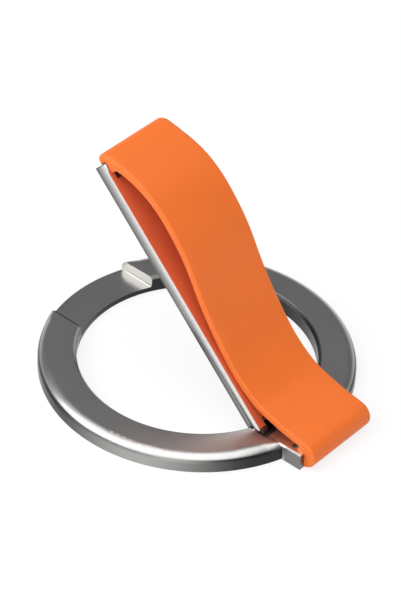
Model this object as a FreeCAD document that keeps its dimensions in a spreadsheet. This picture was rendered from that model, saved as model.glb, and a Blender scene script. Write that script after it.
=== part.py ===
# Magnetic phone stand: a die-cast magnet ring, a hinged metal arm and a silicone finger strap.
# Millimetres. The origin is the ring's centre on its underside, the face that meets the phone.
# +Z is away from the phone, +X is along the hinge and +Y points to the folded arm's free end.
import FreeCAD, Part
import math
import os
import re
import sys

import Sketcher

# Driving dimensions: name, value and what it is.
SIZES = [
    ("ring_inner_radius", 22.0, "ring, opening"),
    ("ring_width", 7.0, "ring, from its opening to its outside"),
    ("ring_height", 3.2, "ring, underside to top"),
    ("ring_outer_round", 1.3, "ring, outer top edge"),
    ("ring_inner_edge", 0.55, "ring, chamfer of its inner top edge"),
    ("seat_floor", 0.97, "floor left under the folded arm"),
    ("seat_gap", 0.1, "air between the folded arm and its seat"),
    ("seat_round", 0.35, "corner between a seat wall and its floor"),
    ("recess_side_gap", 0.75, "air beside the arm in the far recess"),
    ("hinge_side_gap", 0.4, "air beside the arm in the near slot"),
    ("hinge_ramp_run", 1.7, "ramp behind the hinge, along Y"),
    ("hinge_ramp_rise", 1.2, "ramp behind the hinge, along Z"),
    ("tab_width", 18.0, "strap tab, overall"),
    ("tab_length", 2.75, "strap tab, past the ring"),
    ("ear_length", 3.0, "space between the tab's ears"),
    ("tab_edge", 0.25, "chamfer of the tab's top edges"),
    ("ear_thickness", 1.05, "each ear of the tab"),
    ("pad_thickness", 0.35, "soft pad on the underside"),
    ("pad_margin", 0.8, "ring metal left beside the pad"),
    ("magnet_inner_inset", 1.3, "magnets, from the ring's opening"),
    ("magnet_outer_inset", 1.9, "magnets, from the ring's outside"),
    ("magnet_thickness", 1.2, "magnets"),
    ("magnet_gap_angle", 0.8, "degrees between two magnets"),
    ("magnet_arc_angle", 112.0, "degrees that one row of magnets takes"),
    ("shunt_thickness", 0.3, "steel plate above the magnets"),
    ("channel_clearance", 0.1, "air beside the magnets"),
    ("pivot_inset", 0.63, "hinge axis, inside the ring's opening"),
    ("pin_radius", 0.5, "hinge pin"),
    ("pin_fit", 0.03, "radial clearance on the hinge pin"),
    ("pin_grip", 2.6, "length of pin held in each cheek"),
    ("washer_radius", 0.95, "spring washers on the hinge pin"),
    ("washer_thickness", 0.3, "spring washers on the hinge pin"),
    ("sleeve_side_gap", 0.25, "air beside the friction sleeve"),
    ("sleeve_radius", 1.0, "friction sleeve"),
    ("sleeve_foot", 0.6, "friction sleeve, its foot on the ring's floor"),
    ("arm_width", 18.0, "arm plate"),
    ("arm_thickness", 2.35, "arm plate"),
    ("arm_overhang", 3.93, "folded arm, past the ring"),
    ("arm_angle", 45.0, "degrees between the arm and the ring as shown"),
    ("arm_front_round", 1.1, "arm plate, long edges of its front"),
    ("arm_back_round", 0.3, "arm plate, long edges of its back"),
    ("notch_width", 13.9, "arm plate, between its hinge ears"),
    ("notch_height", 1.2, "arm plate, notch above the hinge axis"),
    ("liner_depth", 0.6, "silicone liner let into the arm"),
    ("liner_rim", 0.5, "arm left bare beside the liner"),
    ("liner_foot", 0.25, "liner, its start above the hinge axis"),
    ("liner_step", 1.8, "liner, its start above the notch"),
    ("liner_end_gap", 1.6, "arm left bare past the liner"),
    ("strap_width", 15.7, "strap"),
    ("strap_thickness", 1.4, "strap"),
    ("strap_lip", 1.35, "strap, past the end of the arm"),
    ("strap_lip_depth", 1.75, "strap, how far its lip covers the arm's end"),
    ("strap_foot", 2.1, "strap, length of its foot on the arm"),
    ("strap_gap", 0.05, "air between the strap and what it passes"),
    ("strap_fold_radius", 2.4, "strap, outside of its rolled end"),
    ("strap_fold_height", 2.75, "strap, centre of its rolled end"),
    ("strap_fold_overhang", 1.75, "strap, its rolled end past the tab"),
    ("anchor_inset", 1.15, "anchor pin, from the end of the tab"),
    ("anchor_height", 1.6, "anchor pin, above the underside"),
    ("anchor_radius", 0.6, "anchor pin"),
    ("anchor_grip", 0.7, "length of anchor pin held in each ear"),
    ("clamp_width", 15.0, "clamp bar under the strap"),
    ("clamp_depth", 1.15, "clamp bar, along the arm"),
    ("clamp_height", 1.25, "clamp bar, out of the arm"),
    ("rivet_radius", 0.35, "rivets of the clamp bar"),
    ("rivet_head_radius", 0.8, "rivets, head in the arm's back"),
    ("rivet_head_depth", 0.4, "rivets, head in the arm's back"),
    ("rivet_spacing", 10.0, "between the two rivets"),
]

# The strap's bow at rest, in arm lengths: (place along the arm, height over the arm's front).
STRAP_BOW = [(0.976, 0.0345), (0.906, 0.075), (0.833, 0.1008), (0.747, 0.111), (0.606, 0.0981),
             (0.444, 0.0548), (0.323, 0.0318), (0.191, 0.0198), (0.08, 0.0345)]
# The strap by the ring: (share of the way from hinge to anchor, strap thicknesses over the ring).
STRAP_RAMP = [(0.368, 1.96), (0.765, 1.3), (1.094, 0.96)]
# The strap's fold, in strap thicknesses: (past the arm's end, height over the arm's front).
STRAP_HEEL = [(0.54, 0.7), (-0.64, 1.8), (-1.5, 2.16)]
# Pairs of arcs that follow the strap's curve.
STRAP_ARCS = 12
MAGNETS_PER_SIDE = 8

doc = FreeCAD.newDocument("phone_stand")
sheet = doc.addObject("Spreadsheet::Sheet", "Sizes")
for row, (alias, value, note) in enumerate(SIZES, 1):
    sheet.set("A%d" % row, note)
    sheet.set("B%d" % row, str(value))
    sheet.setAlias("B%d" % row, alias)
doc.recompute()


def bound(text):
    """Put the sheet's name before each driving dimension in an expression."""
    return re.sub(r"[a-z]+(_[a-z]+)+", lambda word: "Sizes." + word.group(0), text)


def number(text):
    """The value of an expression in driving dimensions."""
    return float(sheet.evalExpression(bound(text)))


# Places worked out from the driving dimensions.
RING_OUTER = "(ring_inner_radius + ring_width)"
MAGNET_INNER = "(ring_inner_radius + magnet_inner_inset)"
MAGNET_OUTER = "(%s - magnet_outer_inset)" % RING_OUTER
SHUNT_BASE = "(pad_thickness + magnet_thickness)"
CHANNEL_TOP = "(pad_thickness + magnet_thickness + shunt_thickness)"
PIVOT_REACH = "(ring_inner_radius - pivot_inset)"
PIVOT_HEIGHT = "(seat_floor + seat_gap + arm_thickness / 2)"
SLOT_WIDTH = "(arm_width + 2 * hinge_side_gap)"
SLOT_END = "(%s + arm_thickness / 2 + seat_gap)" % PIVOT_REACH
RECESS_WIDTH = "(arm_width + 2 * recess_side_gap)"
TAB_REACH = "(%s + tab_length)" % RING_OUTER
POCKET_REACH = "(%s - ear_length)" % TAB_REACH
ANCHOR_REACH = "(%s - anchor_inset)" % TAB_REACH
ARM_LENGTH = "(%s + %s + arm_overhang)" % (PIVOT_REACH, RING_OUTER)
LINER_WIDTH = "(arm_width - 2 * liner_rim)"
SLEEVE_LENGTH = "(notch_width - 2 * sleeve_side_gap)"
CLAMP_PLACE = "(%s - strap_foot - strap_gap - clamp_depth / 2)" % ARM_LENGTH


def new_body(label, place=(), turn=None):
    """A body with its own label, moved by (axis letter, expression) pairs and turned about an axis."""
    body = doc.addObject("PartDesign::Body", label)
    body.Label = label
    if turn:
        axis, angle = turn
        body.Placement.Rotation = FreeCAD.Rotation(axis, 1)
        body.setExpression(".Placement.Rotation.Angle", bound(angle))
    for letter, text in place:
        body.setExpression(".Placement.Base." + letter, bound(text))
    return body


def arm_body(label):
    """A body in the arm's own frame: X along the hinge, Y up the arm, Z out of its front."""
    place = [("y", "-" + PIVOT_REACH), ("z", PIVOT_HEIGHT)]
    return new_body(label, place, (FreeCAD.Vector(1, 0, 0), "arm_angle"))


def new_sketch(body, plane, lift=None):
    """A sketch on one of the body's origin planes, lifted off it by an expression."""
    sketch = body.newObject("Sketcher::SketchObject", body.Label + "_sketch")
    role = plane + "_Plane"
    sketch.AttachmentSupport = ([f for f in body.Origin.OriginFeatures if f.Role == role][0], "")
    sketch.MapMode = "FlatFace"
    if lift:
        sketch.setExpression(".AttachmentOffset.Base.z", bound(lift))
    return sketch


def fix_point(sketch, geometry, point, spot):
    """Tie one sketch point to the sheet."""
    for kind, axis, text in (("DistanceX", -2, spot[0]), ("DistanceY", -1, spot[1])):
        if text == "0":
            sketch.addConstraint(Sketcher.Constraint("PointOnObject", geometry, point, axis))
            continue
        size = Sketcher.Constraint(kind, -1, 1, geometry, point, number(text))
        index = sketch.addConstraint(size)
        sketch.setExpression("Constraints[%d]" % index, bound(text))


def draw_polygon(sketch, corners):
    """A closed outline whose corners are pairs of expressions."""
    spots = [FreeCAD.Vector(number(a), number(b), 0) for a, b in corners]
    count = len(spots)
    first = sketch.GeometryCount
    for i in range(count):
        sketch.addGeometry(Part.LineSegment(spots[i], spots[(i + 1) % count]))
    for i in range(count):
        after = first + (i + 1) % count
        sketch.addConstraint(Sketcher.Constraint("Coincident", first + i, 2, after, 1))
        fix_point(sketch, first + i, 1, corners[i])


def draw_box(sketch, low, high):
    """A rectangle between two corners."""
    draw_polygon(sketch, [low, (high[0], low[1]), high, (low[0], high[1])])


def draw_circle(sketch, radius, centre=("0", "0")):
    """A circle whose radius and centre are expressions."""
    spot = FreeCAD.Vector(number(centre[0]), number(centre[1]), 0)
    circle = sketch.addGeometry(Part.Circle(spot, FreeCAD.Vector(0, 0, 1), number(radius)))
    index = sketch.addConstraint(Sketcher.Constraint("Radius", circle, number(radius)))
    sketch.setExpression("Constraints[%d]" % index, bound(radius))
    if centre == ("0", "0"):
        sketch.addConstraint(Sketcher.Constraint("Coincident", circle, 3, -1, 1))
    else:
        fix_point(sketch, circle, 3, centre)


def swept(kind, body, sketch, length, both_ways=True, backwards=False):
    """A pad or pocket of a sketch."""
    feature = body.newObject("PartDesign::" + kind, body.Label + "_" + kind.lower())
    feature.Profile = sketch
    feature.setExpression("Length", bound(length))
    feature.SideType = "Symmetric" if both_ways else "One side"
    feature.Reversed = backwards
    doc.recompute()
    return feature


def turned(kind, body, sketch, angle):
    """A revolution or groove of a sketch about its upright axis, to both sides of its plane."""
    feature = body.newObject("PartDesign::" + kind, body.Label + "_" + kind.lower())
    feature.Profile = sketch
    feature.ReferenceAxis = (sketch, ["V_Axis"])
    feature.Midplane = True
    feature.setExpression("Angle", bound(angle))
    doc.recompute()
    return feature


def edges_where(body, test):
    """The names of the body's edges whose box passes a test."""
    shape = body.Tip.Shape
    return ["Edge%d" % i for i, edge in enumerate(shape.Edges, 1) if test(edge.BoundBox)]


def dressed(kind, body, names, size):
    """A fillet or chamfer of named edges of the body so far."""
    feature = body.newObject("PartDesign::" + kind, body.Label + "_" + kind.lower())
    feature.Base = (feature.BaseFeature, names)
    feature.setExpression("Radius" if kind == "Fillet" else "Size", bound(size))
    doc.recompute()
    return feature


def near(a, b):
    """Whether two lengths are the same within a hundredth."""
    return abs(a - b) < 0.01


def arc_body(label, low, high, angle, turn):
    """A flat arc piece: the section from low to high, as (radius, height), turned about Z."""
    body = new_body(label, turn=(FreeCAD.Vector(0, 0, 1), turn))
    sketch = new_sketch(body, "XZ")
    draw_box(sketch, low, high)
    turned("Revolution", body, sketch, angle)
    return body


def rod_body(label, radius, length, place, bore=None):
    """A round piece along X, or a washer where it has a bore."""
    body = new_body(label, place)
    sketch = new_sketch(body, "YZ")
    draw_circle(sketch, radius)
    if bore:
        draw_circle(sketch, bore)
    swept("Pad", body, sketch, length)
    return body


# The ring, die-cast: a turned blank with the strap tab and the hinge, magnet and arm seats.
ring = new_body("ring_body")
blank = new_sketch(ring, "XZ")
draw_box(blank, ("ring_inner_radius", "0"), (RING_OUTER, "ring_height"))
turned("Revolution", ring, blank, "360")
top = number("ring_height")
outer_radius = number(RING_OUTER)
inner_radius = number("ring_inner_radius")
outer_edge = edges_where(ring, lambda box: near(box.ZMin, top) and near(box.XMax, outer_radius))
dressed("Fillet", ring, outer_edge, "ring_outer_round")
inner_edge = edges_where(ring, lambda box: near(box.ZMin, top) and near(box.XMax, inner_radius))
dressed("Chamfer", ring, inner_edge, "ring_inner_edge")

tab = new_sketch(ring, "YZ")
draw_box(tab, ("-" + TAB_REACH, "0"), ("-(%s - ring_width / 3)" % RING_OUTER, "ring_height"))
swept("Pad", ring, tab, "tab_width")
tab_end = number("-" + TAB_REACH)
tab_edges = edges_where(ring, lambda box: near(box.ZMin, top) and near(box.YMin, tab_end))
dressed("Chamfer", ring, tab_edges, "tab_edge")

ear_space = new_sketch(ring, "YZ")
draw_box(ear_space, ("-(%s + ear_length)" % TAB_REACH, "-ring_height"),
         ("-" + POCKET_REACH, "2 * ring_height"))
swept("Pocket", ring, ear_space, "tab_width - 2 * ear_thickness")
anchor_hole = new_sketch(ring, "YZ")
draw_circle(anchor_hole, "anchor_radius", ("-" + ANCHOR_REACH, "anchor_height"))
swept("Pocket", ring, anchor_hole, "tab_width - 2 * ear_thickness + 2 * anchor_grip")

hinge_slot = new_sketch(ring, "YZ")
draw_polygon(hinge_slot, [
    ("-" + SLOT_END, "seat_floor"),
    ("-(ring_inner_radius - ring_width)", "seat_floor"),
    ("-(ring_inner_radius - ring_width)", "2 * ring_height"),
    ("-(%s + hinge_ramp_run)" % SLOT_END, "2 * ring_height"),
    ("-(%s + hinge_ramp_run)" % SLOT_END, "ring_height"),
    ("-" + SLOT_END, "ring_height - hinge_ramp_rise"),
])
swept("Pocket", ring, hinge_slot, SLOT_WIDTH)

far_recess = new_sketch(ring, "YZ")
draw_box(far_recess, ("ring_inner_radius - ring_width", "seat_floor"),
         (RING_OUTER + " + ring_width", "2 * ring_height"))
swept("Pocket", ring, far_recess, RECESS_WIDTH)
recess_half = number(RECESS_WIDTH + " / 2")
floor_level = number("seat_floor")
wall_feet = edges_where(ring, lambda box: box.YMin > 0 and near(box.ZMax, floor_level)
                        and near(abs(box.XMin), recess_half) and near(box.XMin, box.XMax))
dressed("Fillet", ring, wall_feet, "seat_round")

pad_seat = new_sketch(ring, "XY")
draw_circle(pad_seat, RING_OUTER + " - pad_margin")
draw_circle(pad_seat, "ring_inner_radius + pad_margin")
swept("Pocket", ring, pad_seat, "pad_thickness", False, True)
for side in ("", "-"):
    channel = new_sketch(ring, "XZ")
    draw_box(channel, ("%s(%s - channel_clearance)" % (side, MAGNET_INNER), "0"),
             ("%s(%s + channel_clearance)" % (side, MAGNET_OUTER), CHANNEL_TOP))
    turned("Groove", ring, channel, "magnet_arc_angle + 2 * magnet_gap_angle")

pin_seats = new_sketch(ring, "XY")
for side in ("", "-"):
    draw_box(pin_seats, ("%s(%s / 2)" % (side, SLOT_WIDTH), "-(%s + pin_radius)" % PIVOT_REACH),
             ("%s(%s / 2 + pin_grip)" % (side, SLOT_WIDTH), "-(%s - pin_radius)" % PIVOT_REACH))
swept("Pocket", ring, pin_seats, PIVOT_HEIGHT, False, True)
pin_hole = new_sketch(ring, "YZ")
draw_circle(pin_hole, "pin_radius", ("-" + PIVOT_REACH, PIVOT_HEIGHT))
swept("Pocket", ring, pin_hole, SLOT_WIDTH + " + 2 * pin_grip")

# The soft pad on the underside, and the magnets with their steel shunts in the two channels.
arc_body("base_pad", ("ring_inner_radius + pad_margin", "0"),
         (RING_OUTER + " - pad_margin", "pad_thickness"), "360", "0")
for side, facing in (("right", "0"), ("left", "180")):
    arc_body("shunt_" + side, (MAGNET_INNER, SHUNT_BASE), (MAGNET_OUTER, CHANNEL_TOP),
             "magnet_arc_angle", facing)
    for i in range(MAGNETS_PER_SIDE):
        share = (i + 0.5) / MAGNETS_PER_SIDE - 0.5
        serial = i + 1 + (MAGNETS_PER_SIDE if side == "left" else 0)
        arc_body("magnet_%02d" % serial, (MAGNET_INNER, "pad_thickness"),
                 (MAGNET_OUTER, SHUNT_BASE),
                 "magnet_arc_angle / %d - magnet_gap_angle" % MAGNETS_PER_SIDE,
                 "%s + magnet_arc_angle * %s" % (facing, share))

# The hinge: a fixed pin in both cheeks, its keepers, spring washers and a friction sleeve.
HINGE = [("y", "-" + PIVOT_REACH), ("z", PIVOT_HEIGHT)]
rod_body("hinge_pin", "pin_radius", SLOT_WIDTH + " + 2 * pin_grip", HINGE)
for side, sign in (("right", ""), ("left", "-")):
    middle = "%s(%s / 2 + pin_grip / 2)" % (sign, SLOT_WIDTH)
    keeper = new_body("pin_keeper_" + side, [("x", middle), ("y", "-" + PIVOT_REACH)])
    block = new_sketch(keeper, "XY", "pad_thickness")
    draw_box(block, ("-pin_grip / 2", "-pin_radius"), ("pin_grip / 2", "pin_radius"))
    swept("Pad", keeper, block, PIVOT_HEIGHT + " - pin_radius - pad_thickness", False)
    middle = "%s(%s / 2 - washer_thickness / 2)" % (sign, SLOT_WIDTH)
    rod_body("washer_" + side, "washer_radius", "washer_thickness", [("x", middle)] + HINGE,
             "pin_radius + pin_fit / 2")

sleeve = new_body("friction_sleeve", HINGE)
outside = new_sketch(sleeve, "YZ")
draw_circle(outside, "sleeve_radius")
swept("Pad", sleeve, outside, SLEEVE_LENGTH)
foot = new_sketch(sleeve, "YZ")
draw_box(foot, ("-(pivot_inset + sleeve_foot)", "seat_floor - " + PIVOT_HEIGHT), ("0", "0"))
swept("Pad", sleeve, foot, SLEEVE_LENGTH)
inside = new_sketch(sleeve, "YZ")
draw_circle(inside, "pin_radius")
swept("Pocket", sleeve, inside, "2 * " + SLEEVE_LENGTH)

# The arm: a flat plate with two hinge ears, a tray for its liner and two countersunk rivet holes.
LINER_OUTLINE = [
    ("-%s / 2" % LINER_WIDTH, "liner_foot"),
    ("-notch_width / 2", "liner_foot"),
    ("-notch_width / 2", "liner_step"),
    ("notch_width / 2", "liner_step"),
    ("notch_width / 2", "liner_foot"),
    ("%s / 2" % LINER_WIDTH, "liner_foot"),
    ("%s / 2" % LINER_WIDTH, ARM_LENGTH + " - liner_end_gap"),
    ("-%s / 2" % LINER_WIDTH, ARM_LENGTH + " - liner_end_gap"),
]
arm = arm_body("arm_plate")
plate = new_sketch(arm, "XY")
draw_box(plate, ("-arm_width / 2", "0"), ("arm_width / 2", ARM_LENGTH))
swept("Pad", arm, plate, "arm_thickness")
arm_end = number(ARM_LENGTH)
half_thickness = number("arm_thickness / 2")
for level, round_size in ((half_thickness, "arm_front_round"), (-half_thickness, "arm_back_round")):
    long_edges = edges_where(arm, lambda box: near(box.ZMin, level) and near(box.ZMax, level)
                             and box.YLength > arm_end / 2)
    dressed("Fillet", arm, long_edges, round_size)
knuckle = new_sketch(arm, "YZ")
draw_circle(knuckle, "arm_thickness / 2")
swept("Pad", arm, knuckle, LINER_WIDTH)
notch = new_sketch(arm, "XY")
draw_box(notch, ("-notch_width / 2", "-arm_thickness"), ("notch_width / 2", "notch_height"))
swept("Pocket", arm, notch, "2 * arm_thickness")
bore = new_sketch(arm, "YZ")
draw_circle(bore, "pin_radius + pin_fit")
swept("Pocket", arm, bore, "2 * arm_width")
tray = new_sketch(arm, "XY", "arm_thickness / 2")
draw_polygon(tray, LINER_OUTLINE)
swept("Pocket", arm, tray, "liner_depth", False)
RIVET_SPOTS = [("-rivet_spacing / 2", CLAMP_PLACE), ("rivet_spacing / 2", CLAMP_PLACE)]
holes = new_sketch(arm, "XY")
heads = new_sketch(arm, "XY", "-arm_thickness / 2")
for spot in RIVET_SPOTS:
    draw_circle(holes, "rivet_radius", spot)
    draw_circle(heads, "rivet_head_radius", spot)
swept("Pocket", arm, holes, "2 * arm_thickness")
swept("Pocket", arm, heads, "rivet_head_depth", False, True)

liner = arm_body("arm_liner")
inlay = new_sketch(liner, "XY", "arm_thickness / 2 - liner_depth")
draw_polygon(inlay, LINER_OUTLINE)
for spot in RIVET_SPOTS:
    draw_circle(inlay, "rivet_radius", spot)
swept("Pad", liner, inlay, "liner_depth", False)

# The clamp bar under the strap's fold, and the rivets that draw it down on the arm.
clamp = arm_body("clamp_bar")
bar = new_sketch(clamp, "XY", "arm_thickness / 2")
draw_box(bar, ("-clamp_width / 2", CLAMP_PLACE + " - clamp_depth / 2"),
         ("clamp_width / 2", CLAMP_PLACE + " + clamp_depth / 2"))
for spot in RIVET_SPOTS:
    draw_circle(bar, "rivet_radius", spot)
swept("Pad", clamp, bar, "clamp_height", False)
for side, spot in (("left", RIVET_SPOTS[0]), ("right", RIVET_SPOTS[1])):
    rivet = arm_body("clamp_rivet_" + side)
    shank = new_sketch(rivet, "XY", "-arm_thickness / 2")
    draw_circle(shank, "rivet_radius", spot)
    swept("Pad", rivet, shank, "arm_thickness + clamp_height", False)
    head = new_sketch(rivet, "XY", "-arm_thickness / 2")
    draw_circle(head, "rivet_head_radius", spot)
    swept("Pad", rivet, head, "rivet_head_depth", False)

rod_body("anchor_pin", "anchor_radius", "tab_width - 2 * ear_thickness + 2 * anchor_grip",
         [("y", "-" + ANCHOR_REACH), ("z", "anchor_height")])


def on_arm(along, out):
    """A point of the arm's own frame, as a point of the whole stand at X = 0."""
    angle = math.radians(number("arm_angle"))
    y = along * math.cos(angle) - out * math.sin(angle) - number(PIVOT_REACH)
    z = along * math.sin(angle) + out * math.cos(angle) + number(PIVOT_HEIGHT)
    return FreeCAD.Vector(0, y, z)


def face_of(edges):
    """A face inside a closed row of edges."""
    return Part.Face(Part.Wire(edges))


def strap_line():
    """The middle of the strap's band, from the arm's end to the tab."""
    length = number(ARM_LENGTH)
    front = number("arm_thickness / 2")
    reach = number(PIVOT_REACH)
    run = number(ANCHOR_REACH) - reach
    top = number("ring_height")
    thickness = number("strap_thickness")
    points = [on_arm(along * length, front + out * length) for along, out in STRAP_BOW]
    for share, rise in STRAP_RAMP:
        points.append(FreeCAD.Vector(0, -reach - share * run, top + rise * thickness))
    curve = Part.BSplineCurve()
    curve.interpolate(points)
    return curve


def band_face():
    """The band of even thickness that follows the strap's middle line."""
    curve = strap_line()
    half = number("strap_thickness") / 2
    steps = 2 * STRAP_ARCS
    first, last = curve.FirstParameter, curve.LastParameter
    upper, lower = [], []
    for i in range(steps + 1):
        at = first + (last - first) * i / steps
        shift = curve.tangent(at)[0].cross(FreeCAD.Vector(1, 0, 0)) * half
        upper.append(curve.value(at) + shift)
        lower.append(curve.value(at) - shift)
    sides = []
    for row in (upper, lower):
        for i in range(0, steps, 2):
            sides.append(Part.Arc(row[i], row[i + 1], row[i + 2]).toShape())
    ends = [Part.makeLine(upper[k], lower[k]) for k in (0, -1)]
    return face_of(Part.__sortEdges__(sides + ends))


def hook_face():
    """The strap's foot on the arm and its lip over the arm's end."""
    length = number(ARM_LENGTH)
    front = number("arm_thickness / 2 + strap_gap")
    under = number("arm_thickness / 2 - strap_lip_depth")
    butt = length + number("strap_gap")
    lip = length + number("strap_lip")
    foot = length - number("strap_foot")
    thickness = number("strap_thickness")
    outline = [(foot, front), (butt, front), (butt, under), (lip, under), (lip, number("arm_thickness / 2"))]
    outline += [(length + along * thickness, front + out * thickness) for along, out in STRAP_HEEL]
    corners = [on_arm(along, out) for along, out in outline]
    return Part.Face(Part.makePolygon(corners + corners[:1]))


def roll_face():
    """The strap's rolled end round the anchor pin, between the tab's ears."""
    radius = number("strap_fold_radius")
    level = number("strap_fold_height")
    tip = number("-(%s + strap_fold_overhang)" % TAB_REACH)
    nose = tip + radius
    heel = number("-(%s + 3 * strap_gap)" % POCKET_REACH)
    shoulder = level + radius - number("strap_thickness")
    low = FreeCAD.Vector(0, nose, level - radius)
    high = FreeCAD.Vector(0, nose, level + radius)
    heel_high = FreeCAD.Vector(0, heel, shoulder)
    heel_low = FreeCAD.Vector(0, heel, level - radius)
    nose_arc = Part.Arc(low, FreeCAD.Vector(0, tip, level), high).toShape()
    return face_of([nose_arc, Part.makeLine(high, heel_high),
                    Part.makeLine(heel_high, heel_low), Part.makeLine(heel_low, low)])


def strap_shape():
    """The moulded strap: its band, hook and roll as one solid, with the hole for the anchor pin."""
    width = number("strap_width")
    across = FreeCAD.Vector(width, 0, 0)
    solid = band_face().extrude(across).fuse([hook_face().extrude(across), roll_face().extrude(across)])
    solid.translate(FreeCAD.Vector(-width / 2, 0, 0))
    spot = FreeCAD.Vector(-width, -number(ANCHOR_REACH), number("anchor_height"))
    pin = Part.makeCylinder(number("anchor_radius"), 2 * width, spot, FreeCAD.Vector(1, 0, 0))
    return solid.cut(pin).removeSplitter()


strap = doc.addObject("Part::Feature", "strap")
strap.Label = "strap"
strap.Shape = strap_shape()

# Every object has to be sound before any file is written.
doc.recompute()
pieces = [thing for thing in doc.Objects if thing.TypeId in ("PartDesign::Body", "Part::Feature")]
faults = [thing.Label for thing in doc.Objects if {"Invalid", "Error"} & set(thing.State)]
faults += [thing.Label for thing in pieces if thing.Shape.isNull() or not thing.Shape.isValid()]
faults += [thing.Label for thing in pieces if len(thing.Shape.Solids) != 1]
if faults:
    sys.exit("not sound: " + ", ".join(faults))

os.makedirs("parts", exist_ok=True)
for thing in pieces:
    thing.Shape.exportStep("parts/%s.step" % thing.Label)
    print(thing.Label, round(thing.Shape.Volume, 2))
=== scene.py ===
import math

import bmesh
import bpy
from mathutils import Matrix, Vector
from mathutils.geometry import interpolate_bezier


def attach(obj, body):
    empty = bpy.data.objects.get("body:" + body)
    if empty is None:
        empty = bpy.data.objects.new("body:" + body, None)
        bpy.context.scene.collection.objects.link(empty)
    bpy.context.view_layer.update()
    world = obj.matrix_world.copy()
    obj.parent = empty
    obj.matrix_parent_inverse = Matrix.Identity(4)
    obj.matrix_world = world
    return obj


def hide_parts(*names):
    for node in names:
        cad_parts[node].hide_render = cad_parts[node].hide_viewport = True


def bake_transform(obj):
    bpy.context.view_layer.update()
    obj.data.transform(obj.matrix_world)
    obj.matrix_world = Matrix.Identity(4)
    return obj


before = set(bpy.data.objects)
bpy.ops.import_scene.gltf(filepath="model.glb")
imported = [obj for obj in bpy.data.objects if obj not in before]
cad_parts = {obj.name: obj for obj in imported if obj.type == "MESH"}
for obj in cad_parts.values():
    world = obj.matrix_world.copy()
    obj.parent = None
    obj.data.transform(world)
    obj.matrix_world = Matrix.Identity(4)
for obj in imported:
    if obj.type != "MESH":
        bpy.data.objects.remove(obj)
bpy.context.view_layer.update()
bpy.context.scene.view_settings.view_transform = "Standard"
MM = 0.001


# The ring: one zinc die casting, tumbled and blasted to a satin grain, with a seat for the arm.
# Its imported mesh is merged, its sharp edges are broken as tumbling leaves them, and its outer top
# edge is drawn softer. The class and the functions here serve the other pieces too.
RING_EDGE = 0.16 * MM
INNER_EDGE = 0.30 * MM
MERGE_DISTANCE = 0.002 * MM
# Edges past the sharp angle are rounded and those under the flat one are merged, in degrees.
SHARP_ANGLE = 35
FLAT_ANGLE = 0.5
RING_INNER = 22.0 * MM
RING_OUTER = 29.0 * MM
RING_TOP = 3.2 * MM
CHAMFER = 0.6 * MM
# The cast round, the reach and depth that it is drawn to, and how far that stays away from the
# middle of the seat and of the tab, in degrees.
CAST_ROUND = 1.3 * MM
ROUND_REACH = 2.1 * MM
ROUND_DEPTH = 1.6 * MM
SEAT_TURN = 21.0
TAB_TURN = 19.0
TURN_FADE = 5.0
# The seat's floor, half width and start, and the tab's half width and start along Y.
SEAT_FLOOR = 0.97 * MM
SEAT_SIDE = 9.9 * MM
SEAT_START = 15 * MM
TAB_SIDE = 9.0 * MM
TAB_START = -27.8 * MM
# Where the painted reflection of the strap on the top begins along Y.
REFLECTION_START = -23.2 * MM
# A painted highlight lifts the walls' painted shade along this direction, both ways, most where it
# meets the wall.
HIGHLIGHT_DIRECTION = (-0.94, -0.342, 0)
HIGHLIGHT_START = 20 * MM
RING_COLOUR = (0.49, 0.485, 0.475, 1)
# Painted shade for the walls, then a painted highlight on them.
PAINTED_SHADE_COLOUR = (0.035, 0.034, 0.033, 1)
PAINTED_HIGHLIGHT_COLOUR = (0.40, 0.395, 0.385, 1)
CUT_COLOUR = (0.50, 0.49, 0.465, 1)
# A painted reflection of the strap on the top under it.
STRAP_REFLECTION_COLOUR = (0.95, 0.94, 0.92, 1)
CLOUD_SCALE = 160
GRAIN_DEPTH = 0.02 * MM


class Socket:
    """A node's output. Sums in Python add Math nodes to it, and node() adds any other kind."""

    def __init__(self, tree, output):
        self.tree = tree
        self.output = output

    def node(self, kind, settings, values, output=0):
        """Add a node of a kind: its settings first, then the values or links of its sockets."""
        made = self.tree.nodes.new("ShaderNode" + kind)
        for name, value in settings.items():
            if name == "stops":
                for stop, (position, colour) in zip(made.color_ramp.elements, value):
                    stop.position = position
                    stop.color = colour
            else:
                setattr(made, name, value)
        for name, value in values.items():
            if isinstance(value, Socket):
                self.tree.links.new(value.output, made.inputs[name])
            else:
                made.inputs[name].default_value = value
        return Socket(self.tree, made.outputs[output])

    def maths(self, operation, first, second):
        return self.node("Math", {"operation": operation}, {0: first, 1: second})

    def __add__(self, other):
        return self.maths("ADD", self, other)

    __radd__ = __add__

    def __sub__(self, other):
        return self.maths("SUBTRACT", self, other)

    def __rsub__(self, other):
        return self.maths("SUBTRACT", other, self)

    def __mul__(self, other):
        return self.maths("MULTIPLY", self, other)

    __rmul__ = __mul__

    def mix(self, first, second):
        """The first colour where this number is 0 and the second where it is 1."""
        return self.node("Mix", {"data_type": "RGBA"}, {"Factor": self, 6: first, 7: second}, 2)

    def part(self, output):
        """One number of this vector: 0, 1 or 2 for its X, Y or Z."""
        return self.node("SeparateXYZ", {}, {"Vector": self}, output)

    def along(self, direction):
        """How far this place lies along a direction."""
        return self.node("VectorMath", {"operation": "DOT_PRODUCT"}, {0: self, 1: direction}, 1)

    def size(self):
        """This number without its sign."""
        return self.maths("ABSOLUTE", self, 0)

    def most(self, other):
        """The larger of two numbers."""
        return self.maths("MAXIMUM", self, other)

    def ramp(self, start, end, kind="SMOOTHSTEP"):
        """A smooth step from 0 at start to 1 at end."""
        return self.node("MapRange", {"interpolation_type": kind},
                         {"Value": self, "From Min": start, "From Max": end})

    def noise(self, scale, detail=2.0):
        """Noise on this vector, as a number near 0.5; scale is in waves a metre."""
        return self.node("TexNoise", {}, {"Vector": self, "Scale": scale, "Detail": detail})


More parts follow.
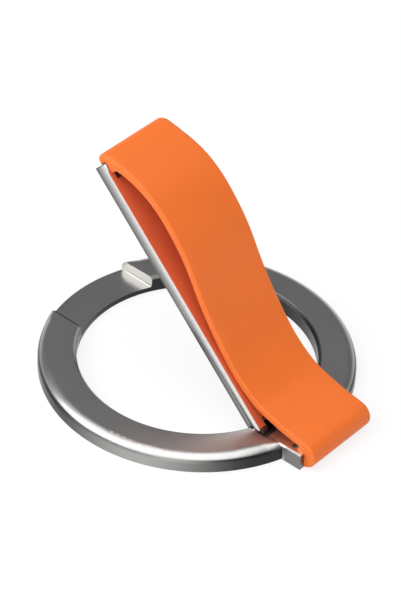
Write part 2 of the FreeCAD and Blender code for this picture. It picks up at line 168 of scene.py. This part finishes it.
def new_finish(name):
    """An empty node material: its shader node, and the socket of Object coordinates."""
    finish = bpy.data.materials.new(name)
    finish.use_nodes = True
    tree = finish.node_tree
    shader = tree.nodes["Principled BSDF"]
    place = Socket(tree, tree.nodes.new("ShaderNodeTexCoord").outputs["Object"])
    return finish, shader, place


def feed(shader, name, value):
    """Set a shader input to a constant, or link it to what varies over the surface."""
    if isinstance(value, Socket):
        value.tree.links.new(value.output, shader.inputs[name])
    else:
        shader.inputs[name].default_value = value


def metal_finish(name, colour, roughness, grain, grain_scale, skin=None):
    """Bare metal with a blasted grain and uneven gloss. skin changes its colour in places."""
    finish, shader, place = new_finish(name)
    cloud = place.noise(CLOUD_SCALE)
    speck = place.noise(grain_scale, 3)
    shade = [0.93 * part for part in colour[:3]] + [1]
    tint = speck.mix(shade, colour)
    if skin:
        tint = skin(place, tint)
    feed(shader, "Base Color", tint)
    feed(shader, "Metallic", 1.0)
    feed(shader, "Roughness", cloud * 0.08 + speck * 0.06 + (roughness - 0.07))
    bump = place.node("Bump", {}, {"Height": speck, "Strength": grain, "Distance": GRAIN_DEPTH})
    feed(shader, "Normal", bump)
    return finish


def merged_copy(node):
    """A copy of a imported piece's mesh with its loose triangles merged."""
    bpy.ops.object.select_all(action="DESELECT")
    piece = bpy.data.objects.new(node + "_piece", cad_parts[node].data.copy())
    bpy.context.scene.collection.objects.link(piece)
    bpy.context.view_layer.objects.active = piece
    piece.select_set(True)
    bpy.ops.mesh.customdata_custom_splitnormals_clear()
    bpy.ops.object.mode_set(mode="EDIT")
    bpy.ops.mesh.select_all(action="SELECT")
    bpy.ops.mesh.remove_doubles(threshold=MERGE_DISTANCE)
    bpy.ops.mesh.dissolve_limited(angle_limit=math.radians(FLAT_ANGLE))
    bpy.ops.object.mode_set(mode="OBJECT")
    return piece


def round_edges(piece, width, angle, share, segments=3, clamp=True):
    """Round each edge sharper than an angle, by its share of a width, and shade the rest smooth."""
    bpy.ops.object.select_all(action="DESELECT")
    bpy.context.view_layer.objects.active = piece
    piece.select_set(True)
    form = bmesh.new()
    form.from_mesh(piece.data)
    weight = form.edges.layers.float.new("bevel_weight_edge")
    for edge in form.edges:
        if edge.is_manifold and edge.calc_face_angle() > math.radians(angle):
            edge[weight] = share((edge.verts[0].co + edge.verts[1].co) / 2)
    form.to_mesh(piece.data)
    form.free()
    bevel = piece.modifiers.new("edge", "BEVEL")
    bevel.width = width
    bevel.segments = segments
    bevel.limit_method = "WEIGHT"
    bevel.use_clamp_overlap = clamp
    bpy.ops.object.modifier_apply(modifier="edge")
    bpy.ops.object.shade_smooth_by_angle(angle=math.radians(angle))
    weights = piece.modifiers.new("weights", "WEIGHTED_NORMAL")
    weights.keep_sharp = True
    bpy.ops.object.modifier_apply(modifier="weights")


def dress(piece, finish):
    """Give a piece its material."""
    piece.data.materials.clear()
    piece.data.materials.append(finish)


def ring_painted_light(place, tint):
    """Painted shade on the ring's outer and inner walls, with a painted highlight where they face
    -X, a little towards -Y, and the opposite way.

    The seat's walls are cut bright and the left one's rim has painted shade. The top under the
    strap has a painted reflection of the strap, and the tab's sides and end have painted shade at
    about half strength.
    """
    flat = place.node("VectorMath", {"operation": "MULTIPLY"}, {0: place, 1: (1, 1, 0)})
    radius = place.node("VectorMath", {"operation": "LENGTH"}, {0: flat}, 1)
    across, beyond, level = (place.part(i) for i in range(3))
    width = across.size()
    # Painted shade on the outer wall, lifted by a painted highlight along one direction.
    highlight = place.along(HIGHLIGHT_DIRECTION).size().ramp(HIGHLIGHT_START, RING_OUTER, "LINEAR")
    wall = (highlight * highlight * highlight).mix(PAINTED_SHADE_COLOUR, PAINTED_HIGHLIGHT_COLOUR)
    outside = radius.ramp(RING_OUTER - 0.65 * MM, RING_OUTER - 0.25 * MM)
    outside = outside * radius.ramp(RING_OUTER + 0.12 * MM, RING_OUTER + 0.05 * MM)
    outside = outside * level.ramp(RING_TOP - 0.35 * MM, RING_TOP - 0.9 * MM)
    behind = beyond.ramp(SEAT_START, SEAT_START + 1 * MM)
    seat_floor = behind * width.ramp(SEAT_SIDE - 0.2 * MM, SEAT_SIDE - 0.4 * MM)
    seat_floor = seat_floor * level.ramp(SEAT_FLOOR - 0.22 * MM, SEAT_FLOOR - 0.07 * MM)
    tint = (outside * (1 - seat_floor)).mix(tint, wall)
    # Painted shade on the inner wall and on the chamfer of the opening.
    inside = radius.ramp(RING_INNER + 0.12 * MM, RING_INNER + 0.03 * MM)
    chamfer = radius.ramp(RING_INNER + 0.75 * MM, RING_INNER + 0.4 * MM)
    chamfer = chamfer * level.ramp(SEAT_FLOOR + 0.13 * MM, SEAT_FLOOR + 0.33 * MM)
    chamfer = chamfer * beyond.ramp(SEAT_START + 2 * MM, SEAT_START - 2 * MM)
    tint = inside.most(chamfer).mix(tint, PAINTED_SHADE_COLOUR)
    cut = width.ramp(SEAT_SIDE - 0.6 * MM, SEAT_SIDE - 0.25 * MM)
    cut = cut * width.ramp(SEAT_SIDE + 0.05 * MM, SEAT_SIDE - 0.05 * MM)
    cut = cut * radius.ramp(RING_INNER + 0.1 * MM, RING_INNER + 0.4 * MM)
    cut = cut * behind * level.ramp(RING_TOP - 0.05 * MM, RING_TOP - 0.2 * MM)
    tint = cut.mix(tint, CUT_COLOUR)
    # Painted shade along the rim of the step at the seat's left side.
    step = across.ramp(-SEAT_SIDE - 0.2 * MM, -SEAT_SIDE - 0.05 * MM)
    step = step * across.ramp(-SEAT_SIDE + 0.3 * MM, -SEAT_SIDE + 0.15 * MM)
    step = step * behind * level.ramp(RING_TOP - 0.5 * MM, RING_TOP - 0.2 * MM)
    tint = (step * 0.8).mix(tint, PAINTED_SHADE_COLOUR)
    # A painted reflection of the strap, bright on the top under it.
    strap_reflection = beyond.ramp(REFLECTION_START, REFLECTION_START - 1 * MM)
    strap_reflection = strap_reflection * width.ramp(TAB_SIDE - 0.1 * MM, TAB_SIDE - 0.5 * MM)
    strap_reflection = strap_reflection * level.ramp(RING_TOP - 0.3 * MM, RING_TOP - 0.1 * MM)
    tint = strap_reflection.mix(tint, STRAP_REFLECTION_COLOUR)
    # Painted shade, at a little over half strength, on the tab's sides and end.
    tab = level.ramp(RING_TOP - 0.02 * MM, RING_TOP - 0.2 * MM)
    tab = tab.most(width.ramp(TAB_SIDE - 0.3 * MM, TAB_SIDE - 0.15 * MM))
    tab = tab * beyond.ramp(TAB_START, TAB_START - 0.6 * MM)
    return (tab * 0.6).mix(tint, PAINTED_SHADE_COLOUR)


def ring_share(spot):
    """The chamfer of the ring's opening is rounded more than its other edges."""
    inside = spot.xy.length < RING_INNER + CHAMFER and spot.z > RING_TOP - CHAMFER
    return 1.0 if inside else RING_EDGE / INNER_EDGE


def widen_round(spot):
    """Draw the cast round of the outer top edge wider, except at the seat and the tab."""
    radius = spot.xy.length
    if not RING_OUTER - 1.01 * CAST_ROUND < radius < RING_OUTER + 0.01 * MM:
        return
    if spot.z < RING_TOP - 1.01 * CAST_ROUND:
        return
    turn = math.degrees(math.atan2(spot.y, spot.x))
    away = min(abs(turn - 90) - SEAT_TURN, abs(turn + 90) - TAB_TURN)
    share = max(0.0, min(1.0, away / TURN_FADE))
    share = share * share * (3 - 2 * share)
    reach = (RING_OUTER - radius) * (ROUND_REACH / CAST_ROUND - 1) * share
    spot.z -= (RING_TOP - spot.z) * (ROUND_DEPTH / CAST_ROUND - 1) * share
    spot.xy *= (radius - reach) / radius


ring_metal = metal_finish("satin_zinc", RING_COLOUR, roughness=0.30, grain=0.35,
                          grain_scale=9000, skin=ring_painted_light)
ring = merged_copy("ring_body")
for vertex in ring.data.vertices:
    widen_round(vertex.co)
round_edges(ring, INNER_EDGE, SHARP_ANGLE, ring_share)
dress(ring, ring_metal)
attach(ring, "ring")
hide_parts("ring_body")


# The underside: a soft pad that meets the phone, and above it the magnets with their shunts.
# The pad is cast silicone glued over them, the magnets are nickel plated, the shunts plain steel.
PAD_COLOUR = (0.045, 0.045, 0.048, 1)
NICKEL_COLOUR = (0.62, 0.60, 0.56, 1)
SHUNT_COLOUR = (0.42, 0.42, 0.43, 1)
RUBBER_CLOUD_SCALE = 140
PORE_SCALE = 12000


def rubber_finish(name, colour, roughness, grain):
    """Moulded rubber: an even colour with faint clouding and a fine eroded texture."""
    finish, shader, place = new_finish(name)
    feed(shader, "Specular IOR Level", 0.3)
    cloud = place.noise(RUBBER_CLOUD_SCALE)
    pore = place.noise(PORE_SCALE, 2)
    deep = [0.90 * part for part in colour[:3]] + [1]
    tint = cloud.mix(deep, colour)
    feed(shader, "Base Color", tint)
    feed(shader, "Roughness", pore * 0.10 + (roughness - 0.05))
    bump = place.node("Bump", {}, {"Height": pore, "Strength": grain, "Distance": GRAIN_DEPTH})
    feed(shader, "Normal", bump)
    return finish


def dress_node(name, finish):
    """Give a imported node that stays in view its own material."""
    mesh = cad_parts[name].data
    mesh.materials.clear()
    mesh.materials.append(finish)


pad_rubber = rubber_finish("pad_rubber", PAD_COLOUR, roughness=0.7, grain=0.2)
magnet_plate = metal_finish("magnet_nickel", NICKEL_COLOUR, roughness=0.22, grain=0.1,
                            grain_scale=6000)
plain_steel = metal_finish("plain_steel", SHUNT_COLOUR, roughness=0.35, grain=0.3,
                           grain_scale=7000)
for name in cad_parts:
    if name.startswith("magnet"):
        dress_node(name, magnet_plate)
    if name.startswith("shunt"):
        dress_node(name, plain_steel)
dress_node("base_pad", pad_rubber)


# The hinge: a ground pin held in both cheeks, spring washers, and a black steel friction sleeve
# round the pin between the arm's ears. The anchor pin and the rivets are ground steel too.
SLEEVE_EDGE = 0.12 * MM
OXIDE_COLOUR = (0.05, 0.048, 0.046, 1)
STEEL_COLOUR = (0.58, 0.57, 0.56, 1)
dark_steel = metal_finish("black_oxide", OXIDE_COLOUR, roughness=0.30, grain=0.3,
                          grain_scale=7000)
bright_steel = metal_finish("ground_steel", STEEL_COLOUR, roughness=0.18, grain=0.15,
                            grain_scale=8000)
sleeve = merged_copy("friction_sleeve")
round_edges(sleeve, SLEEVE_EDGE, SHARP_ANGLE, lambda spot: 1)
dress(sleeve, dark_steel)
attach(sleeve, "ring")
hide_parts("friction_sleeve")
for name in ("hinge_pin", "anchor_pin", "washer_left", "washer_right", "clamp_rivet_left",
             "clamp_rivet_right"):
    dress_node(name, bright_steel)
for name in ("pin_keeper_left", "pin_keeper_right"):
    dress_node(name, ring_metal)


# The arm: a flat plate of the same metal as the ring, finished brighter, with rounded long edges.
# Its two ears turn on the hinge pin.
ARM_EDGE = 0.1 * MM
ARM_COLOUR = (0.60, 0.595, 0.59, 1)
ARM_SIDE = 9.0 * MM
# Out of the arm's front and along it at rest, and how far on these the painted shade on its
# sides and tip reaches.
OUTWARD = (0, -0.7071, 0.7071)
ALONG = (0, 0.7071, 0.7071)
SIDE_LIGHT = 17.3 * MM
SIDE_DARK = 15.5 * MM
TIP_START = 40.6 * MM


def arm_painted_shade(place, tint):
    """Painted shade on the plate's sides and tip, the sides darkest at the back."""
    side = place.part(0).size().ramp(ARM_SIDE - 0.12 * MM, ARM_SIDE - 0.02 * MM)
    back = place.along(OUTWARD).ramp(SIDE_LIGHT, SIDE_DARK)
    tint = (side * (0.35 + back * 0.5)).mix(tint, PAINTED_SHADE_COLOUR)
    tip = place.along(ALONG).ramp(TIP_START, TIP_START + 0.12 * MM)
    return (tip * 0.8).mix(tint, PAINTED_SHADE_COLOUR)


arm_metal = metal_finish("satin_arm", ARM_COLOUR, roughness=0.26, grain=0.25,
                         grain_scale=9000, skin=arm_painted_shade)
arm = merged_copy("arm_plate")
round_edges(arm, ARM_EDGE, SHARP_ANGLE, lambda spot: 1)
dress(arm, arm_metal)
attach(arm, "arm")
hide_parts("arm_plate")


# The liner: a layer of orange silicone, moulded into a shallow tray in the arm's front. Its
# orange is the silicone's own, painted darker and redder as the shade under the strap's bow.
LINER_EDGE = 0.15 * MM
SHADED_LINER_COLOUR = (0.68, 0.12, 0.042, 1)
liner_rubber = rubber_finish("liner_silicone", SHADED_LINER_COLOUR, roughness=0.52, grain=0.12)
liner = merged_copy("arm_liner")
round_edges(liner, LINER_EDGE, SHARP_ANGLE, lambda spot: 1)
dress(liner, liner_rubber)
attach(liner, "arm")
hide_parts("arm_liner")


# The clamp bar: black steel like the friction sleeve. Two rivets draw it down on the arm's end,
# under the strap's fold.
CLAMP_EDGE = 0.12 * MM
clamp = merged_copy("clamp_bar")
round_edges(clamp, CLAMP_EDGE, SHARP_ANGLE, lambda spot: 1)
dress(clamp, dark_steel)
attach(clamp, "arm")
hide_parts("clamp_bar")


# The strap: one band of orange silicone, moulded with a thick fold that hooks over the arm's end.
# It bows out as a finger loop, and ends in a roll round the anchor pin in the ring's tab. Its
# values are in millimetres. It is built from ribs, pairs of points outside and inside of the band.
ORANGE = (0.78, 0.158, 0.022, 1)
ARM_ANGLE = math.radians(45)
ARM_LENGTH = 54.3
PIVOT = (-21.37, 2.245)
STRAP_WIDTH = 15.95
HOOK_WIDTH = 16.3
STRAP_THICKNESS = 1.4
# How far its edges are rounded, the share of that lost for each millimetre from the hook, and
# the angle past which an edge is rounded.
BAND_EDGE = 0.4
HOOK_EDGE = 0.9
INSIDE_EDGE = 0.3
EDGE_FADE = 0.1
BEND_ANGLE = 40
# Steps from one given point of the band to the next, and how many points lie inside the fold.
STEPS = 8
FOLDED = 3
# The hook over the arm's end, as (past the arm's end, out of the arm's middle): outside, inside.
HOOK = [((1.75, -0.575), (0.05, -0.575)), ((1.70, 0.8), (0.05, 0.8)), ((1.52, 1.45), (0.05, 1.225)),
        ((1.18, 2.0), (-0.5, 1.225)), ((0.70, 2.48), (-1.1, 1.225)), ((0.08, 2.9), (-1.7, 1.225)),
        ((-0.45, 3.25), (-2.1, 1.225)), ((-0.92, 3.62), (-2.1, 2.55))]
# The middle of the band: along and out of the arm, then (y, z) over the ring.
BOW = [(52.98, 3.05), (49.19, 5.25), (45.24, 6.65), (40.58, 7.20), (32.89, 6.50),
       (24.11, 4.15), (17.52, 2.90), (10.38, 2.25), (4.34, 3.05)]
RAMP = [(-24.77, 5.95), (-28.43, 5.02), (-31.47, 4.55)]
NOSE = (-31.4, 2.62)
NOSE_RADIUS = 2.6
# The inside of the roll, from the band down round the anchor pin, as (y, z).
HEEL = [(-30.5, 3.95), (-30.0, 3.3), (-29.5, 2.7), (-29.3, 1.6), (-29.5, 0.5)]
TURNS = 12


def on_arm(along, out):
    """A point in the arm's own frame, in mm, as (y, z) of the whole stand."""
    y = along * math.cos(ARM_ANGLE) - out * math.sin(ARM_ANGLE) + PIVOT[0]
    z = along * math.sin(ARM_ANGLE) + out * math.cos(ARM_ANGLE) + PIVOT[1]
    return Vector((y, z))


def smooth_line(points):
    """Points along a smooth curve through a row of points."""
    line = []
    for i in range(len(points) - 1):
        before = points[max(i - 1, 0)]
        a, b = points[i], points[i + 1]
        after = points[min(i + 2, len(points) - 1)]
        run = (b - a).length
        lean_a = (b - before).normalized() * run / 3
        lean_b = (after - a).normalized() * run / 3
        piece = interpolate_bezier(a.to_3d(), (a + lean_a).to_3d(), (b - lean_b).to_3d(),
                                   b.to_3d(), STEPS + 1)
        line += [p.to_2d() for p in piece[:-1]]
    return line + [points[-1]]


line = smooth_line([on_arm(*spot) for spot in BOW] + [Vector(spot) for spot in RAMP])
ribs = [[on_arm(ARM_LENGTH + along, out) for along, out in rib] for rib in HOOK]
for i in range(FOLDED, len(line)):
    ahead = line[min(i + 1, len(line) - 1)] - line[i - 1]
    side = Vector((-ahead.y, ahead.x)).normalized() * STRAP_THICKNESS / 2
    if line[i].x + side.x > HEEL[0][0]:
        ribs.append([line[i] - side, line[i] + side])
for i in range(TURNS + 1):
    turn = math.radians(90 - 180 * i / TURNS)
    rim = Vector(NOSE) + NOSE_RADIUS * Vector((-math.cos(turn), math.sin(turn)))
    step, share = divmod(i * (len(HEEL) - 1) / TURNS, 1)
    here, after = HEEL[int(step)], HEEL[min(int(step) + 1, len(HEEL) - 1)]
    ribs.append([rim, Vector(here).lerp(Vector(after), share)])
hook_end = ribs[len(HOOK)][0] * MM


def strap_share(spot):
    """The strap's edges are rounded most at its hook and least on its inside."""
    flat = Vector((spot.y, spot.z))
    rib = min(ribs, key=lambda rib: min((point * MM - flat).length for point in rib))
    if (rib[1] * MM - flat).length < (rib[0] * MM - flat).length:
        return INSIDE_EDGE / HOOK_EDGE if flat.x > (HEEL[0][0] + 0.3) * MM else 0
    away = (flat - hook_end).length / MM if flat.x < hook_end.x else 0
    return max(BAND_EDGE / HOOK_EDGE, 1 - EDGE_FADE * away)


bpy.ops.object.select_all(action="DESELECT")
bpy.ops.mesh.primitive_grid_add(x_subdivisions=1, y_subdivisions=len(ribs) - 1, size=1)
strap = bpy.context.object
strap.name = "finger_strap"
rows = sorted({round(v.co.y, 6) for v in strap.data.vertices})
for vertex in strap.data.vertices:
    i = min(range(len(rows)), key=lambda i: abs(rows[i] - vertex.co.y))
    spot = ribs[i][0] if vertex.co.x < 0 else ribs[i][1]
    width = HOOK_WIDTH + (STRAP_WIDTH - HOOK_WIDTH) * i / (len(ribs) - 1)
    vertex.co = Vector((-width / 2, spot.x, spot.y)) * MM
bpy.ops.object.mode_set(mode="EDIT")
bpy.ops.mesh.select_all(action="SELECT")
bpy.ops.mesh.extrude_region_move(TRANSFORM_OT_translate={"value": (STRAP_WIDTH * MM, 0, 0)})
bpy.ops.mesh.select_all(action="SELECT")
bpy.ops.mesh.normals_make_consistent(inside=False)
bpy.ops.object.mode_set(mode="OBJECT")
# The extrusion gave every rib one width, so the far side is moved to mirror the near side.
for vertex in strap.data.vertices:
    if vertex.co.x > 0:
        vertex.co.x = STRAP_WIDTH * MM - vertex.co.x
round_edges(strap, HOOK_EDGE * MM, BEND_ANGLE, strap_share, segments=4, clamp=False)
orange = rubber_finish("orange_silicone", ORANGE, roughness=0.50, grain=0.12)
dress(strap, orange)
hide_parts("strap")
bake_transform(strap)


# The studio: a pale floor that is seen and mirrored almost white but keeps the stand's shadow, a
# grey room with a white horizon, and soft boxes above, at the left and low in front.
FLOOR_HALF = 1.2
FLOOR_DROP = 0.05 * MM
FLOOR_GLOW = 0.8
FLOOR_COLOUR = (0.9, 0.9, 0.9, 1)
ROOM_COLOUR = (0.18, 0.18, 0.185, 1)
WHITE = (1, 1, 1, 1)


def softbox(name, place, target, size, power):
    """A lamp of a size in metres, at a place, turned to a target. Its power is in watts."""
    bpy.ops.object.light_add(type="AREA", location=place)
    lamp = bpy.context.object
    lamp.name = name
    lamp.rotation_euler = (Vector(target) - Vector(place)).to_track_quat("-Z", "Y").to_euler()
    lamp.data.shape = "RECTANGLE"
    lamp.data.size, lamp.data.size_y = size
    lamp.data.energy = power


bpy.ops.object.select_all(action="DESELECT")
bpy.ops.mesh.primitive_plane_add(size=2 * FLOOR_HALF, location=(0, 0, -FLOOR_DROP))
floor = bpy.context.object
floor.name = "floor"
floor_finish, floor_shader, floor_place = new_finish("pale_floor")
feed(floor_shader, "Base Color", FLOOR_COLOUR)
feed(floor_shader, "Roughness", 0.9)
tree = floor_finish.node_tree
path = tree.nodes.new("ShaderNodeLightPath")
seen = sum((Socket(tree, path.outputs[kind]) for kind in
            ("Is Camera Ray", "Is Glossy Ray", "Is Transmission Ray")), 0)
glow = floor_place.node("Emission", {}, {"Color": WHITE, "Strength": 1.0})
lit = Socket(tree, floor_shader.outputs["BSDF"])
white = floor_place.node("MixShader", {}, {"Fac": seen * FLOOR_GLOW, 1: lit, 2: glow})
tree.links.new(white.output, tree.nodes["Material Output"].inputs["Surface"])
floor.data.materials.append(floor_finish)

world = bpy.data.worlds.new("room")
bpy.context.scene.world = world
world.use_nodes = True
sky = world.node_tree
facing = Socket(sky, sky.nodes.new("ShaderNodeTexCoord").outputs["Generated"])
height = facing.part(2)
room = height.node("ValToRGB", {"stops": [(0.04, WHITE), (0.34, ROOM_COLOUR)]}, {"Fac": height})
sky.links.new(room.output, sky.nodes["Background"].inputs["Color"])

softbox("top_box", place=(-0.277, 0.077, 0.62), target=(-0.177, 0.177, 0.01),
        size=(1.08, 1.08), power=7.5)
softbox("left_box", place=(-0.45, 0.49, 0.44), target=(0, 0, 0.01), size=(0.42, 0.42), power=2.0)
softbox("front_box", place=(-0.62, -0.42, 0.24), target=(0, 0, 0.01), size=(0.45, 0.45),
        power=0.75)


# The camera: it stands where the photograph was taken from, turned a little about its own axis.
# Its place, angles and lens were fitted to the ring's two circles and the straight edges.
AZIMUTH = math.radians(-50.87)
ELEVATION = math.radians(39.61)
ROLL = 0.0531
CAMERA_PLACE = (-0.30648, -0.24941, 0.34190)
LENS = 171.75
back = Vector((math.sin(AZIMUTH) * math.cos(ELEVATION), -math.cos(AZIMUTH) * math.cos(ELEVATION),
               math.sin(ELEVATION)))
flat_right = (-back).cross(Vector((0, 0, 1))).normalized()
rise = flat_right.cross(-back)
right = math.cos(ROLL) * flat_right + math.sin(ROLL) * rise
up = math.cos(ROLL) * rise - math.sin(ROLL) * flat_right
bpy.ops.object.camera_add(location=CAMERA_PLACE)
camera = bpy.context.object
camera.rotation_euler = Matrix((right, up, back)).transposed().to_euler()
camera.data.lens = LENS
camera.data.clip_start = 0.01
bpy.context.scene.camera = camera
